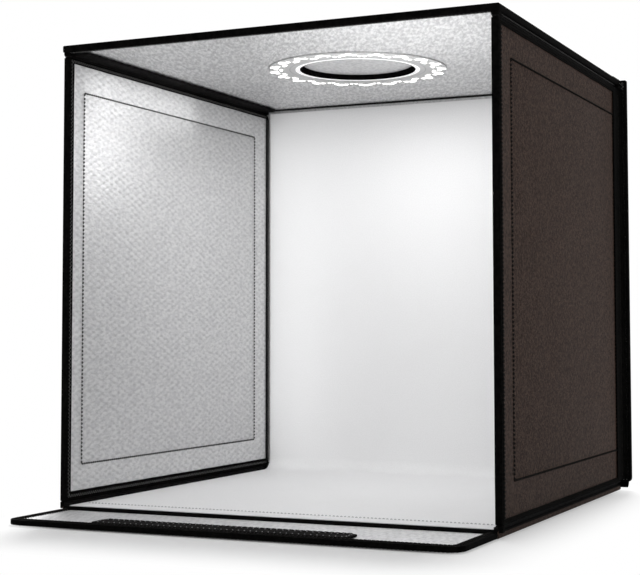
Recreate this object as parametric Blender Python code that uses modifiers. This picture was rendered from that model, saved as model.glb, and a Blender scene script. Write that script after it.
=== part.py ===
# Folding light tent cube.
#
# Four bound panels stand on a wrapped base: two side walls and a top, all hinged
# by fabric tape to the back panel. A closure flap lies in front of the base, a
# ring of lamps surrounds the shooting hole in the top, the hole has its own
# cover, and a white backdrop hangs down the back and runs out over the base.
#
# Metres, +X to the right, +Y to the rear, +Z up. The origin is the centre of the
# base's underside. Every moving piece is parented to an empty on its hinge axis.

import bpy
import bmesh
from math import cos, pi, radians, sin
from mathutils import Euler, Matrix, Vector

# The box
HEIGHT = 0.400              # floor to the top panel's outer face
BASE_DEPTH = 0.3725
INNER_WIDTH = 0.381         # between the side walls' inner faces
BASE_LIP = 0.003            # base past each wall's inner face
TOP_LIP = 0.001             # top panel past each wall's outer face
BACK_LIP = 0.007            # back panel past each wall's outer face
TOP_OVERHANG = 0.001        # top panel past the base's front edge
WALL_SHORTFALL = 0.0005     # side walls' rear edges before the base's
WALL_GAP = 0.004            # a wall's edge to the base, and to the top
PANEL = 0.006               # thickness of base, walls, top and back
HINGE_GAP = 0.0005          # rear edge of base and top to the back panel
HINGE_RISE = 0.0012         # back panel's axis above the base's top face

# Layers of a bound panel
SKIN = 0.0007               # cover, lining and binding of a thick panel
THIN_SKIN = 0.0005          # the same on the flap and the hole cover
SEAT = 0.0003               # clearance between pieces that touch
BINDING_WIDTH = 0.006       # binding seen on each face
EDGE_ROUND = 0.0012         # rolled edge of a thick panel's binding
THIN_EDGE_ROUND = 0.0008    # the same on the flap and the hole cover
WALL_FRONT_CORNER = 0.0015
WALL_REAR_CORNER = 0.006
TOP_CORNER = 0.0015
BACK_UPPER_CORNER = 0.0015
BACK_LOWER_CORNER = 0.004
BASE_CORNER = 0.0015
OVERRUN = 0.004             # how far a cutter runs past what it cuts

# Closure flap
FLAP_SIDE_GAP = 0.0005      # each side inside the base's side
FLAP_LENGTH = 0.079
FLAP_THICKNESS = 0.0042
FLAP_CORNER = 0.012
FLAP_REAR_CORNER = 0.0015
FLAP_REAR_LAP = 0.002       # binding seen along the fold
FLAP_FOLD_GAP = 0.0004      # flap's rear edge to the base's front edge
FLAP_AXIS_DROP = 0.001      # flap's axis below the base's top face
FLAP_HOOK_LENGTH = 0.220
FLAP_HOOK_WIDTH = 0.020
FLAP_HOOK_INSET = 0.0005    # strip's front edge behind the flap's binding
HOOK_THICKNESS = 0.0016     # the two closure strips
CLOSURE_LOOP_WIDTH = 0.022
CLOSURE_LOOP_DROP = 0.016   # loop strip's upper edge below the back panel's top

# Fabric tapes
TAPE = 0.0005
FOLD_TAPE_WIDTH = 0.0035    # black strip on the base's front margin
BASE_TAPE_WIDTH = 0.014     # black strip on the base's rear margin
WALL_TAPE_WIDTH = 0.024
TOP_TAPE_WIDTH = 0.022
BACK_UPPER_TAPE_WIDTH = 0.012
BACK_LOWER_TAPE_WIDTH = 0.022
COVER_TAPE_WIDTH = 0.012

# Strips that hold the walls to the base and to the top
WALL_HOOK = 0.001           # thickness of a wall's hook strip
WALL_HOOK_WIDTH = 0.005
BASE_LOOP_WIDTH = 0.0038
TOP_LOOP_WIDTH = 0.017
LOOP_EDGE_INSET = 0.0003    # base strip's outer edge inside the base's side
TOP_LOOP_INSET = 0.0035     # top strip's outer edge inside the top's side
STRIP_FRONT_MARGIN = 0.001  # walls' and base's strips behind the walls' front edges
TOP_LOOP_FRONT_MARGIN = 0.008
STRIP_REAR_MARGIN = 0.010   # strips before the walls' rear edges

# Shooting hole, its sleeve and its lamps
HOLE_DIAMETER = 0.105
HOLE_FORWARD = 0.00425      # centre of the hole before the base's middle
HOLE_FLANGE = 0.006
RING_DIAMETER = 0.164
RING_BOARD = 0.0008
LAMP_WAVES = 20             # the lamp chain waves outward and inward round the hole
LAMP_DIAMETER = 0.148       # circle midway between its waves
LAMP_SWING = 0.0045         # outward and inward of that circle
LAMP_WIDTH = 0.005
LAMP_HEIGHT = 0.0007
LAMP_STEPS = 8              # sections to a wave
ROUND_STEPS = 64
WELD = 0.00001              # points of the turned sleeve that meet

# Hole cover
COVER_SIDE = 0.130
COVER_THICKNESS = 0.0042
COVER_CORNER = 0.008
COVER_HINGE_GAP = 0.0007    # its rear edge to its axis
COVER_TAB_LENGTH = 0.020
COVER_TAB_WIDTH = 0.010
COVER_TAB_INSET = 0.001     # tab's outer edges inside the cover's binding
COVER_TAB_THICKNESS = 0.0006
PULL_LENGTH = 0.014
PULL_WIDTH = 0.020
PULL_THICKNESS = 0.001
PAD_GAP = 0.0025            # round the raised pad that sits in the hole
PAD_REACH = 0.0024          # its face below the top panel's outer face
PAD_ROUND = 0.0008

# Power inlet on the top panel
INLET_WIDTH = 0.026
INLET_LENGTH = 0.016
INLET_HEIGHT = 0.0056
INLET_CORNER = 0.003
INLET_ROUND = 0.0010
INLET_SLOT_WIDTH = 0.0090
INLET_SLOT_HEIGHT = 0.0032
INLET_SLOT_DEPTH = 0.0070
INLET_TONGUE_WIDTH = 0.0066
INLET_TONGUE_HEIGHT = 0.0008
INLET_TONGUE_LENGTH = 0.0060
INLET_SIDE = 0.120          # right of the middle
INLET_REAR_GAP = 0.0275     # its rear face before the top panel's rear edge

# Backdrop
BACKDROP_THICKNESS = 0.0005
BACKDROP_SIDE_GAP = 0.0015  # to each wall
BACKDROP_FRONT_GAP = 0.004  # behind the base's front edge
BACKDROP_TOP_GAP = 0.0028   # below the top panel
BACKDROP_BEND = 0.013       # radius of its white face where it turns up
BEND_STEPS = 10
HANG_STRIP_END_GAP = 0.0205 # each end inside the side wall's inner face
HANG_STRIP_WIDTH = 0.015
HANG_STRIP_DROP = 0.005     # below the backdrop's top edge
HANG_STRIP_THICKNESS = 0.0007

# How the walls fold in, forward of the back panel's inner face
FIRST_FOLD = 0.0075         # right wall's inner face once folded
FOLD_STACK_GAP = 0.002      # between the two folded walls

# Facets of rounded corners
CORNER_STEPS = 5
FLAP_CORNER_STEPS = 10
ROLL_STEPS = 2

# Finishes: colour, roughness, metallic
LEATHER = ((0.034, 0.024, 0.020), 0.55, 0.0)
BLACK_FABRIC = ((0.006, 0.006, 0.006), 0.80, 0.0)
SILVER = ((0.55, 0.55, 0.56), 0.38, 0.75)
GREY_BOARD = ((0.28, 0.26, 0.23), 0.90, 0.0)
HOOK = ((0.010, 0.010, 0.010), 0.90, 0.0)
WHITE_SHEET = ((0.80, 0.80, 0.80), 0.60, 0.0)
CIRCUIT_BOARD = ((0.62, 0.62, 0.62), 0.45, 0.0)
LAMP = ((0.90, 0.90, 0.85), 0.30, 0.0)
BLACK_PLASTIC = ((0.012, 0.012, 0.012), 0.40, 0.0)
SHEET_LOOKS = (LEATHER, GREY_BOARD, SILVER)

# Places that several pieces share
WALL_DEPTH = BASE_DEPTH - WALL_SHORTFALL
WALL_INSIDE = INNER_WIDTH / 2
WALL_OUTSIDE = WALL_INSIDE + PANEL
BASE_WIDTH = 2 * (WALL_INSIDE + BASE_LIP)
TOP_WIDTH = 2 * (WALL_OUTSIDE + TOP_LIP)
BACK_WIDTH = 2 * (WALL_OUTSIDE + BACK_LIP)
FLAP_WIDTH = BASE_WIDTH - 2 * FLAP_SIDE_GAP
FRONT = -BASE_DEPTH / 2
REAR = BASE_DEPTH / 2
BACK_FACE = REAR + HINGE_GAP                    # back panel's inner face
BACK_OUTSIDE = BACK_FACE + PANEL
RECESS = SKIN + SEAT                            # binding's face to the skin it laps
THIN_RECESS = THIN_SKIN + SEAT
BACK_AXIS_Z = PANEL + HINGE_RISE
BACK_LOW = BACK_AXIS_Z + SEAT
TOP_UNDER = HEIGHT - PANEL
TOP_SURFACE = HEIGHT - RECESS                   # top panel's cover, inside its binding
TOP_AXIS_Z = HEIGHT + SEAT + TAPE
HINGE_Y = REAR + HINGE_GAP / 2
WALL_LOW = PANEL + WALL_GAP
WALL_HIGH = TOP_UNDER - WALL_GAP
WALL_HEIGHT = WALL_HIGH - WALL_LOW
WALL_MIDDLE_Y = FRONT + WALL_DEPTH / 2
WALL_MIDDLE_Z = (WALL_LOW + WALL_HIGH) / 2
HOLE_Y = -HOLE_FORWARD
SLEEVE_OUTER = HOLE_DIAMETER / 2 + SKIN
PANEL_HOLE = SLEEVE_OUTER + SEAT                # radius of the hole in the sheets
RING_LOW = TOP_UNDER + RECESS - SEAT - RING_BOARD
LOOP_HEIGHT = WALL_GAP - WALL_HOOK - 3 * SEAT
STRIP_FRONT = FRONT + STRIP_FRONT_MARGIN
STRIP_REAR = FRONT + WALL_DEPTH - STRIP_REAR_MARGIN
BACKDROP_WHITE_Y = BACK_FACE - SEAT - BACKDROP_THICKNESS
BACKDROP_TOP = TOP_UNDER - BACKDROP_TOP_GAP
BACKDROP_WIDTH = INNER_WIDTH - 2 * BACKDROP_SIDE_GAP

SIDES = ((-1, "left"), (1, "right"))

# Turns that face a panel's cover side outward
FACE_UP = (0.0, 0.0, 0.0)
FACE_REAR = (radians(-90), 0.0, 0.0)
FACE_RIGHT = (0.0, radians(90), 0.0)
FACE_LEFT = (0.0, radians(-90), 0.0)
FACE_DOWN = (0.0, radians(180), 0.0)
ALONG_X = (radians(90), 0.0, radians(90))       # an outline in YZ, extruded along X


class Model:
    """The collections of pieces and cutters, and the places of the hinge empties."""

    def __init__(self):
        for item in list(bpy.data.objects):
            bpy.data.objects.remove(item, do_unlink=True)
        self.pieces = self.collection("light_tent_cube")
        self.cutters = self.collection("cutters")
        self.places = {}

    def collection(self, name):
        collection = bpy.data.collections.new(name)
        bpy.context.scene.collection.children.link(collection)
        return collection

    def put(self, item, parent, middle, turn):
        """Places an object by its middle in the box's frame, whatever its parent."""
        item.parent = parent
        start = self.places[parent.name] if parent else Vector()
        item.location = Vector(middle) - start
        item.rotation_euler = turn

    def axis(self, name, place, parent=None):
        """An empty on a hinge axis."""
        empty = bpy.data.objects.new(name, None)
        self.pieces.objects.link(empty)
        self.put(empty, parent, place, FACE_UP)
        self.places[name] = Vector(place)
        return empty

    def add(self, name, data, look, parent, middle, turn=FACE_UP):
        """A visible piece with a finish of its own."""
        item = bpy.data.objects.new(name, data)
        self.pieces.objects.link(item)
        item.data.materials.append(finish(name, look))
        self.put(item, parent, middle, turn)
        return item

    def change(self, item, operation, mesh, middle, turn):
        """Cuts the mesh out of the piece, or joins it on."""
        tool = bpy.data.objects.new(item.name + "_" + mesh.name, mesh)
        self.cutters.objects.link(tool)
        tool.hide_render = True
        tool.display_type = 'WIRE'
        self.put(tool, item.parent, middle, turn)
        boolean = item.modifiers.new(mesh.name, 'BOOLEAN')
        boolean.operation = operation
        boolean.solver = 'EXACT'
        boolean.object = tool

    def cut(self, item, mesh, middle, turn=FACE_UP):
        self.change(item, 'DIFFERENCE', mesh, middle, turn)

    def join(self, item, mesh, middle, turn=FACE_UP):
        self.change(item, 'UNION', mesh, middle, turn)


def finish(name, look):
    colour, roughness, metallic = look
    material = bpy.data.materials.new(name + "_finish")
    material.use_nodes = True
    shader = material.node_tree.nodes["Principled BSDF"]
    shader.inputs["Base Color"].default_value = (*colour, 1.0)
    shader.inputs["Roughness"].default_value = roughness
    shader.inputs["Metallic"].default_value = metallic
    return material


def mesh_from(bm, name):
    mesh = bpy.data.meshes.new(name)
    bmesh.ops.recalc_face_normals(bm, faces=bm.faces[:])
    bm.to_mesh(mesh)
    bm.free()
    return mesh


def is_upright(edge):
    start, end = edge.verts
    return abs(start.co.z - end.co.z) > SEAT / 2


def round_corners(bm, side, length, radius, steps):
    """Rounds the two upright edges at the plate's front (-1) or rear (+1)."""
    edges = [edge for edge in bm.edges
             if is_upright(edge) and edge.verts[0].co.y * side > length / 2 - SEAT]
    bmesh.ops.bevel(bm, geom=edges, offset=radius, segments=steps, profile=0.5,
                    affect='EDGES')


def plate(name, width, length, thickness, corners=(0.0, 0.0), steps=CORNER_STEPS, roll=0.0):
    """A flat plate about its middle, with front and rear corner radii and a rolled rim."""
    bm = bmesh.new()
    bmesh.ops.create_cube(bm, matrix=Matrix.Diagonal((width, length, thickness, 1.0)))
    for side, radius in zip((-1, 1), corners):
        if radius > 0:
            round_corners(bm, side, length, radius, steps)
    if roll > 0:
        rim = [edge for edge in bm.edges if not is_upright(edge)]
        bmesh.ops.bevel(bm, geom=rim, offset=roll, segments=ROLL_STEPS, profile=0.5,
                        affect='EDGES')
    return mesh_from(bm, name)


def disc(name, radius, thickness):
    bm = bmesh.new()
    bmesh.ops.create_cone(bm, cap_ends=True, segments=ROUND_STEPS, radius1=radius,
                          radius2=radius, depth=thickness)
    return mesh_from(bm, name)


def profile_bar(model, name, outline, length, look, parent, middle):
    """A closed outline in the YZ plane, extruded along X about the middle."""
    curve = bpy.data.curves.new(name, 'CURVE')
    curve.dimensions = '2D'
    curve.fill_mode = 'BOTH'
    curve.extrude = length / 2
    spline = curve.splines.new('POLY')
    spline.points.add(len(outline) - 1)
    for point, (y, z) in zip(spline.points, outline):
        point.co = (y - middle[1], z - middle[2], 0.0, 1.0)
    spline.use_cyclic_u = True
    return model.add(name, curve, look, parent, middle, ALONG_X)


def bound_panel(model, name, size, corners, parent, middle, turn, skin=SKIN,
                roll=EDGE_ROUND, steps=CORNER_STEPS, rear_lap=BINDING_WIDTH):
    """Cover, board and lining inside a binding that laps both faces.

    The cover is on the panel's own +Z side. The laps are BINDING_WIDTH wide, but for
    the one along the panel's own rear edge. Returns the three sheets.
    """
    width, length, thickness = size
    recess = skin + SEAT
    board = thickness - 2 * (recess + skin + SEAT)
    lift = thickness / 2 - recess - skin / 2
    outward = Euler(turn).to_matrix() @ Vector((0.0, 0.0, 1.0))
    layers = (("cover", skin, lift), ("board", board, 0.0), ("lining", skin, -lift))
    sheets = []
    for (part, depth, offset), look in zip(layers, SHEET_LOOKS):
        mesh = plate(part, width - 2 * recess, length - 2 * recess, depth,
                     [max(radius - recess, 0.0) for radius in corners], steps)
        place = Vector(middle) + outward * offset
        sheets.append(model.add(name + "_" + part, mesh, look, parent, place, turn))
    mesh = plate("binding", width, length, thickness, corners, steps, roll)
    binding = model.add(name + "_binding", mesh, BLACK_FABRIC, parent, middle, turn)
    slot = plate("slot", width - 2 * skin, length - 2 * skin, thickness - 2 * skin,
                 [max(radius - skin, 0.0) for radius in corners], steps)
    window = plate("window", width - 2 * BINDING_WIDTH, length - BINDING_WIDTH - rear_lap,
                   thickness + 2 * OVERRUN,
                   [max(radius - BINDING_WIDTH, 0.0) for radius in corners], steps)
    toward_rear = Euler(turn).to_matrix() @ Vector((0.0, BINDING_WIDTH - rear_lap, 0.0))
    model.cut(binding, slot, middle, turn)
    model.cut(binding, window, Vector(middle) + toward_rear / 2, turn)
    return sheets


def edge_tape(model, name, edge_y, inward, reach):
    """An L strip over one end of the base: down its edge and onto its margin."""
    outline = [
        (edge_y, RECESS),
        (edge_y, PANEL),
        (edge_y + inward * reach, PANEL),
        (edge_y + inward * reach, PANEL - SKIN),
        (edge_y + inward * SKIN, PANEL - SKIN),
        (edge_y + inward * SKIN, RECESS),
    ]
    profile_bar(model, name, outline, BASE_WIDTH - 2 * RECESS, BLACK_FABRIC, None,
                (0.0, edge_y, PANEL / 2))


def loop_strips(model, name, parent, low, width, outer_x, front):
    """The pair of strips that the walls' hook strips meet."""
    for side, label in SIDES:
        strip = plate("strip", width, STRIP_REAR - front, LOOP_HEIGHT)
        model.add(label + "_" + name, strip, HOOK, parent,
                  (side * (outer_x - width / 2), (STRIP_REAR + front) / 2,
                   low + LOOP_HEIGHT / 2))


def build_base(model):
    tray = plate("tray", BASE_WIDTH, BASE_DEPTH, PANEL, (BASE_CORNER, BASE_CORNER))
    cover = model.add("base_cover", tray, LEATHER, None, (0.0, 0.0, PANEL / 2))
    depth = PANEL - SKIN + OVERRUN
    pocket = plate("pocket", BASE_WIDTH - 2 * SKIN, BASE_DEPTH + 2 * OVERRUN, depth)
    model.cut(cover, pocket, (0.0, 0.0, SKIN + depth / 2))

    inner_width = BASE_WIDTH - 2 * RECESS
    board = plate("board", inner_width, BASE_DEPTH - 2 * RECESS, PANEL - 2 * RECESS)
    model.add("base_board", board, GREY_BOARD, None, (0.0, 0.0, PANEL / 2))

    lining_front = FRONT + FOLD_TAPE_WIDTH + SEAT
    lining_rear = REAR - BASE_TAPE_WIDTH - SEAT
    lining = plate("lining", inner_width, lining_rear - lining_front, SKIN)
    middle = (0.0, (lining_front + lining_rear) / 2, PANEL - SKIN / 2)
    model.add("base_lining", lining, SILVER, None, middle)

    edge_tape(model, "flap_fold_tape", FRONT, 1, FOLD_TAPE_WIDTH)
    edge_tape(model, "base_hinge_tape", REAR, -1, BASE_TAPE_WIDTH)

    loop_strips(model, "base_loop_strip", None, PANEL + SEAT, BASE_LOOP_WIDTH,
                BASE_WIDTH / 2 - LOOP_EDGE_INSET, STRIP_FRONT)


def build_flap(model):
    axis = model.axis("flap_hinge", (0.0, FRONT - FLAP_FOLD_GAP / 2, PANEL - FLAP_AXIS_DROP))
    flap_front = FRONT - FLAP_FOLD_GAP - FLAP_LENGTH
    middle = (0.0, flap_front + FLAP_LENGTH / 2, SEAT + FLAP_THICKNESS / 2)
    bound_panel(model, "flap", (FLAP_WIDTH, FLAP_LENGTH, FLAP_THICKNESS),
                (FLAP_CORNER, FLAP_REAR_CORNER), axis, middle, FACE_DOWN, THIN_SKIN,
                THIN_EDGE_ROUND, FLAP_CORNER_STEPS, FLAP_REAR_LAP)

    lining_face = SEAT + FLAP_THICKNESS - THIN_RECESS
    hook = plate("hook", FLAP_HOOK_LENGTH, FLAP_HOOK_WIDTH, HOOK_THICKNESS)
    hook_front = flap_front + BINDING_WIDTH + FLAP_HOOK_INSET
    model.add("flap_hook_strip", hook, HOOK, axis,
              (0.0, hook_front + FLAP_HOOK_WIDTH / 2, lining_face + SEAT + HOOK_THICKNESS / 2))


def build_back(model):
    axis = model.axis("back_hinge", (0.0, HINGE_Y, BACK_AXIS_Z))
    height = HEIGHT - BACK_LOW
    middle = (0.0, BACK_FACE + PANEL / 2, BACK_LOW + height / 2)
    bound_panel(model, "back", (BACK_WIDTH, height, PANEL),
                (BACK_UPPER_CORNER, BACK_LOWER_CORNER), axis, middle, FACE_REAR)

    tape_y = BACK_OUTSIDE + SEAT + TAPE / 2
    upper = plate("upper", TOP_WIDTH, TAPE, BACK_UPPER_TAPE_WIDTH)
    model.add("back_upper_hinge_tape", upper, BLACK_FABRIC, axis,
              (0.0, tape_y, HEIGHT - BACK_UPPER_TAPE_WIDTH / 2))
    lower = plate("lower", BASE_WIDTH, TAPE, BACK_LOWER_TAPE_WIDTH)
    model.add("back_lower_hinge_tape", lower, BLACK_FABRIC, axis,
              (0.0, tape_y, BACK_LOW + BACK_LOWER_TAPE_WIDTH / 2))

    loop = plate("loop", FLAP_HOOK_LENGTH, HOOK_THICKNESS, CLOSURE_LOOP_WIDTH)
    model.add("back_loop_strip", loop, HOOK, axis,
              (0.0, BACK_OUTSIDE - RECESS + SEAT + HOOK_THICKNESS / 2,
               HEIGHT - CLOSURE_LOOP_DROP - CLOSURE_LOOP_WIDTH / 2))

    hang = plate("hang", INNER_WIDTH - 2 * HANG_STRIP_END_GAP, HANG_STRIP_THICKNESS,
                 HANG_STRIP_WIDTH)
    model.add("backdrop_hang_strip", hang, HOOK, axis,
              (0.0, BACK_FACE + RECESS - SEAT - HANG_STRIP_THICKNESS / 2,
               BACKDROP_TOP - HANG_STRIP_DROP - HANG_STRIP_WIDTH / 2))
    return axis


def build_wall(model, name, side, folded_face, turn, back_axis):
    """One side wall. Once folded in, its inner face lies folded_face before the back."""
    folded_y = BACK_FACE - folded_face
    axis_y = (folded_y + WALL_INSIDE + WALL_MIDDLE_Y) / 2
    axis_x = (folded_y + WALL_INSIDE - WALL_MIDDLE_Y) / 2
    axis = model.axis(name + "_hinge", (side * axis_x, axis_y, WALL_MIDDLE_Z), back_axis)
    middle = (side * (WALL_INSIDE + PANEL / 2), WALL_MIDDLE_Y, WALL_MIDDLE_Z)
    bound_panel(model, name, (WALL_HEIGHT, WALL_DEPTH, PANEL),
                (WALL_FRONT_CORNER, WALL_REAR_CORNER), axis, middle, turn)

    tape = plate("tape", TAPE, WALL_TAPE_WIDTH, WALL_HEIGHT - 2 * WALL_REAR_CORNER)
    model.add(name + "_hinge_tape", tape, BLACK_FABRIC, axis,
              (side * (WALL_OUTSIDE + SEAT + TAPE / 2),
               WALL_MIDDLE_Y + WALL_DEPTH / 2 - WALL_TAPE_WIDTH / 2, WALL_MIDDLE_Z))

    lift = WALL_HEIGHT / 2 + SEAT + WALL_HOOK / 2
    for label, z in (("lower", WALL_MIDDLE_Z - lift), ("upper", WALL_MIDDLE_Z + lift)):
        strip = plate("strip", WALL_HOOK_WIDTH, STRIP_REAR - STRIP_FRONT, WALL_HOOK)
        model.add(name + "_" + label + "_hook_strip", strip, HOOK, axis,
                  (side * (WALL_INSIDE + PANEL / 2), (STRIP_REAR + STRIP_FRONT) / 2, z))


def hole_sleeve(model, axis):
    """The turned sleeve that lines the shooting hole and laps the top's outer face."""
    inner = HOLE_DIAMETER / 2
    flange = inner + HOLE_FLANGE
    outline = [
        (inner, TOP_UNDER),
        (inner, HEIGHT),
        (flange, HEIGHT),
        (flange, HEIGHT - SKIN),
        (SLEEVE_OUTER, HEIGHT - SKIN),
        (SLEEVE_OUTER, TOP_UNDER),
    ]
    points = [(radius, 0.0, z - HEIGHT) for radius, z in outline]
    edges = [(number, (number + 1) % len(points)) for number in range(len(points))]
    mesh = bpy.data.meshes.new("sleeve")
    mesh.from_pydata(points, edges, [])
    sleeve = model.add("hole_binding", mesh, BLACK_FABRIC, axis, (0.0, HOLE_Y, HEIGHT))
    turned = sleeve.modifiers.new("turned", 'SCREW')
    turned.angle = 2 * pi
    turned.steps = ROUND_STEPS
    turned.render_steps = ROUND_STEPS
    turned.use_merge_vertices = True
    turned.merge_threshold = WELD


def lamp_chain():
    """A flat strip about its middle that waves outward and inward as it goes round."""
    bm = bmesh.new()
    count = LAMP_WAVES * LAMP_STEPS
    sections = []
    for number in range(count):
        angle = 2 * pi * number / count
        along = LAMP_DIAMETER / 2 + LAMP_SWING * cos(LAMP_WAVES * angle)
        section = []
        for across, z in ((-1, -1), (1, -1), (1, 1), (-1, 1)):
            radius = along + across * LAMP_WIDTH / 2
            place = (radius * cos(angle), radius * sin(angle), z * LAMP_HEIGHT / 2)
            section.append(bm.verts.new(place))
        sections.append(section)
    for number, section in enumerate(sections):
        following = sections[(number + 1) % count]
        for side in range(4):
            beside = (side + 1) % 4
            bm.faces.new((section[side], section[beside], following[beside], following[side]))
    return mesh_from(bm, "lamps")


def lamp_ring(model, axis):
    """A ring board seated on the lining, and the chain of lamps under it."""
    middle = (0.0, HOLE_Y, RING_LOW + RING_BOARD / 2)
    board = model.add("lamp_ring_board", disc("ring", RING_DIAMETER / 2, RING_BOARD),
                      CIRCUIT_BOARD, axis, middle)
    model.cut(board, disc("bore", PANEL_HOLE, RING_BOARD + 2 * OVERRUN), middle)
    model.add("lamp_chain", lamp_chain(), LAMP, axis,
              (0.0, HOLE_Y, RING_LOW - SEAT - LAMP_HEIGHT / 2))


def power_inlet(model, axis):
    """A low housing on the top panel, with a slotted socket that faces the rear."""
    rear = REAR - INLET_REAR_GAP
    low = TOP_SURFACE + SEAT
    middle_z = low + INLET_HEIGHT / 2
    body = plate("housing", INLET_WIDTH, INLET_LENGTH, INLET_HEIGHT,
                 (INLET_CORNER, INLET_CORNER), CORNER_STEPS, INLET_ROUND)
    inlet = model.add("power_inlet", body, BLACK_PLASTIC, axis,
                      (INLET_SIDE, rear - INLET_LENGTH / 2, middle_z))
    depth = INLET_SLOT_DEPTH + OVERRUN
    slot = plate("slot", INLET_SLOT_WIDTH, depth, INLET_SLOT_HEIGHT)
    model.cut(inlet, slot, (INLET_SIDE, rear + OVERRUN - depth / 2, middle_z))
    root = OVERRUN / 2
    tongue = plate("tongue", INLET_TONGUE_WIDTH, INLET_TONGUE_LENGTH + root,
                   INLET_TONGUE_HEIGHT)
    seat_y = rear - INLET_SLOT_DEPTH
    model.join(inlet, tongue,
               (INLET_SIDE, seat_y + (INLET_TONGUE_LENGTH - root) / 2, middle_z))


def cover_tabs(model, name, parent, low):
    """The pair of tabs under the hole cover's two front corners."""
    reach = COVER_SIDE / 2 - BINDING_WIDTH - COVER_TAB_INSET
    for side, label in SIDES:
        tab = plate("tab", COVER_TAB_LENGTH, COVER_TAB_WIDTH, COVER_TAB_THICKNESS)
        model.add(label + "_" + name, tab, HOOK, parent,
                  (side * (reach - COVER_TAB_LENGTH / 2),
                   HOLE_Y - reach + COVER_TAB_WIDTH / 2, low + COVER_TAB_THICKNESS / 2))


def build_top(model, back_axis):
    axis = model.axis("top_hinge", (0.0, HINGE_Y, TOP_AXIS_Z), back_axis)
    middle = (0.0, -TOP_OVERHANG / 2, HEIGHT - PANEL / 2)
    sheets = bound_panel(model, "top", (TOP_WIDTH, BASE_DEPTH + TOP_OVERHANG, PANEL),
                         (TOP_CORNER, TOP_CORNER), axis, middle, FACE_UP)
    for sheet in sheets:
        model.cut(sheet, disc("hole", PANEL_HOLE, PANEL + 2 * OVERRUN),
                  (0.0, HOLE_Y, HEIGHT - PANEL / 2))
    hole_sleeve(model, axis)
    lamp_ring(model, axis)
    power_inlet(model, axis)

    tape = plate("tape", TOP_WIDTH, TOP_TAPE_WIDTH, TAPE)
    model.add("top_hinge_tape", tape, BLACK_FABRIC, axis,
              (0.0, REAR - TOP_TAPE_WIDTH / 2, HEIGHT + SEAT + TAPE / 2))

    loop_strips(model, "top_loop_strip", axis, TOP_UNDER - SEAT - LOOP_HEIGHT,
                TOP_LOOP_WIDTH, TOP_WIDTH / 2 - TOP_LOOP_INSET, FRONT + TOP_LOOP_FRONT_MARGIN)

    hinge_y = HOLE_Y + COVER_SIDE / 2 + COVER_HINGE_GAP
    tape = plate("tape", COVER_SIDE, COVER_TAPE_WIDTH, TAPE)
    model.add("hole_cover_hinge_tape", tape, BLACK_FABRIC, axis,
              (0.0, hinge_y + SEAT + COVER_TAPE_WIDTH / 2, TOP_SURFACE + SEAT + TAPE / 2))

    cover_tabs(model, "cover_loop_tab", axis, TOP_SURFACE + SEAT)
    return axis


def pad_disc(thickness):
    """A disc about its middle, its lower rim rounded off."""
    bm = bmesh.new()
    radius = HOLE_DIAMETER / 2 - PAD_GAP
    bmesh.ops.create_cone(bm, cap_ends=True, segments=ROUND_STEPS, radius1=radius,
                          radius2=radius, depth=thickness)
    rim = [edge for edge in bm.edges
           if not is_upright(edge) and edge.verts[0].co.z < 0]
    bmesh.ops.bevel(bm, geom=rim, offset=PAD_ROUND, segments=ROLL_STEPS, profile=0.5,
                    affect='EDGES')
    return mesh_from(bm, "pad")


def build_hole_cover(model, top_axis):
    under = HEIGHT + SEAT
    middle_z = under + COVER_THICKNESS / 2
    hinge_y = HOLE_Y + COVER_SIDE / 2 + COVER_HINGE_GAP
    axis = model.axis("hole_cover_hinge", (0.0, hinge_y, middle_z), top_axis)
    bound_panel(model, "hole_cover", (COVER_SIDE, COVER_SIDE, COVER_THICKNESS),
                (COVER_CORNER, COVER_CORNER), axis, (0.0, HOLE_Y, middle_z), FACE_UP,
                THIN_SKIN, THIN_EDGE_ROUND)

    cover_tabs(model, "cover_hook_tab", axis, under + THIN_RECESS - SEAT - COVER_TAB_THICKNESS)

    pad_low = HEIGHT - PAD_REACH
    pad_high = under + THIN_RECESS - SEAT
    model.add("hole_cover_pad", pad_disc(pad_high - pad_low), SILVER, axis,
              (0.0, HOLE_Y, (pad_low + pad_high) / 2))

    pull = plate("pull", PULL_WIDTH, PULL_LENGTH, PULL_THICKNESS)
    front = HOLE_Y - COVER_SIDE / 2
    model.add("hole_cover_pull_tab", pull, BLACK_FABRIC, axis,
              (0.0, front - SEAT - PULL_LENGTH / 2, middle_z))


def build_backdrop(model):
    """The white sheet: up the back, round one tight bend and out over the base."""
    low = PANEL + SEAT
    floor = low + BACKDROP_THICKNESS
    axis = model.axis("backdrop_slide", (0.0, BACKDROP_WHITE_Y, low))
    bend_y = BACKDROP_WHITE_Y - BACKDROP_BEND
    bend_z = floor + BACKDROP_BEND
    angles = [-pi / 2 + pi / 2 * step / BEND_STEPS for step in range(BEND_STEPS + 1)]
    outer = BACKDROP_BEND + BACKDROP_THICKNESS
    front = FRONT + BACKDROP_FRONT_GAP
    outline = [(front, floor)]
    outline += [(bend_y + BACKDROP_BEND * cos(a), bend_z + BACKDROP_BEND * sin(a))
                for a in angles]
    outline += [(BACKDROP_WHITE_Y, BACKDROP_TOP),
                (BACKDROP_WHITE_Y + BACKDROP_THICKNESS, BACKDROP_TOP)]
    outline += [(bend_y + outer * cos(a), bend_z + outer * sin(a))
                for a in reversed(angles)]
    outline += [(front, low)]
    profile_bar(model, "backdrop_sheet", outline, BACKDROP_WIDTH, WHITE_SHEET, axis,
                (0.0, BACKDROP_WHITE_Y, low))
    length = bend_y - front + pi / 2 * (BACKDROP_BEND + outer) / 2 + BACKDROP_TOP - bend_z
    print("backdrop, flat:", round(BACKDROP_WIDTH, 4), "by", round(length, 4))


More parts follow.
